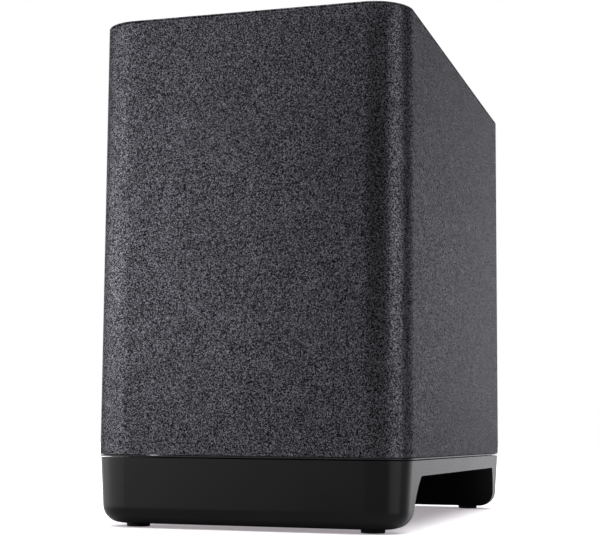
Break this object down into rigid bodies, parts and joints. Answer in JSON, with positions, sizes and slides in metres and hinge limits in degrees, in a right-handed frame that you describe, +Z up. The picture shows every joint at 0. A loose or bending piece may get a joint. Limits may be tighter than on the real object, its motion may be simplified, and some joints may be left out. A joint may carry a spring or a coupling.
{
  "type": "wireless subwoofer",
  "caption": "Fabric-wrapped box subwoofer of a soundbar set: moulded plinth with open sides, rubber feet, down-firing woofer, rear amplifier panel and reflex port.",
  "frame": {"origin": "on the floor under the middle of the bounding box", "axes": "+Z up, the plain front faces -Y, the amplifier panel and port face +Y, the open sides of the plinth face +X and -X"},
  "size_m": [0.205, 0.3862, 0.325],
  "materials": {
    "wrap_fabric": "fine charcoal weave",
    "plinth_plastic": "satin moulded black",
    "panel_plastic": "fine textured black",
    "rubber": "matt",
    "foam": "closed-cell foam",
    "fibreboard": "raw medium-density fibreboard",
    "frame_paint": "satin black paint on pressed steel",
    "cone_pulp": "dyed paper pulp",
    "spider_cloth": "resin-dipped cotton",
    "copper_winding": "lacquered copper wire",
    "zinc_steel": "zinc plated",
    "black_steel": "black oxide",
    "ferrite": "sintered, matt",
    "circuit_board": "solder-masked glass fibre board",
    "aluminium": "extruded",
    "tinned_metal": "tin plated",
    "brown_laminate": "phenolic laminate",
    "tinsel_braid": "silvered copper braid",
    "clear_lens": "frosted light pipe",
    "wire_sleeve": "red and black twin insulation",
    "capacitor_sleeve": "shrink sleeve on an aluminium can"
  },
  "bodies": {
    "root": {"amp_board": "circuit_board", "amp_gasket": "foam", "amp_panel": "panel_plastic", "amp_screw_1": "black_steel", "amp_screw_2": "black_steel", "amp_screw_3": "black_steel", "amp_screw_4": "black_steel", "base_plinth": "plinth_plastic", "base_screw_1": "black_steel", "base_screw_2": "black_steel", "base_screw_3": "black_steel", "base_screw_4": "black_steel", "bottom_baffle": "fibreboard", "button_switch": "black_steel", "capacitor": "capacitor_sleeve", "corner_post_front_left": "fibreboard", "corner_post_front_right": "fibreboard", "corner_post_rear_left": "fibreboard", "corner_post_rear_right": "fibreboard", "fabric_sleeve": "wrap_fabric", "ferrite_magnet": "ferrite", "foot_front_left": "rubber", "foot_front_right": "rubber", "foot_rear_left": "rubber", "foot_rear_right": "rubber", "front_panel": "fibreboard", "front_plate": "zinc_steel", "heat_sink": "aluminium", "inlet_pin_left": "tinned_metal", "inlet_pin_right": "tinned_metal", "left_panel": "fibreboard", "pole_yoke": "zinc_steel", "port_flare": "panel_plastic", "port_tube": "panel_plastic", "power_inlet": "panel_plastic", "power_transformer": "ferrite", "rear_panel": "fibreboard", "right_panel": "fibreboard", "speaker_lead": "wire_sleeve", "spider": "spider_cloth", "status_light": "clear_lens", "surround": "rubber", "terminal_strip": "brown_laminate", "tinsel_lead_left": "tinsel_braid", "tinsel_lead_right": "tinsel_braid", "top_panel": "fibreboard", "top_skin": "wrap_fabric", "trim_frame": "plinth_plastic", "window_brace": "fibreboard", "wireless_module": "tinned_metal", "woofer_frame": "frame_paint", "woofer_gasket": "foam", "woofer_screw_1": "black_steel", "woofer_screw_2": "black_steel", "woofer_screw_3": "black_steel", "woofer_screw_4": "black_steel"},
    "cone_assembly": {"cone": "cone_pulp", "dust_cap": "cone_pulp", "voice_coil": "copper_winding"},
    "button": {"connect_button": "panel_plastic"}
  },
  "joints": [
    {"name": "cone_travel", "type": "slide", "parent": "root", "child": "cone_assembly", "axis": [0, 0, -1], "range_m": [-0.005, 0.005], "stiffness_N_per_m": 2000, "deforming": ["surround", "spider", "tinsel_lead_left", "tinsel_lead_right"]},
    {"name": "button_press", "type": "slide", "parent": "root", "child": "button", "axis": [0, -1, 0], "range_m": [0, 0.0008], "stiffness_N_per_m": 600}
  ]
}
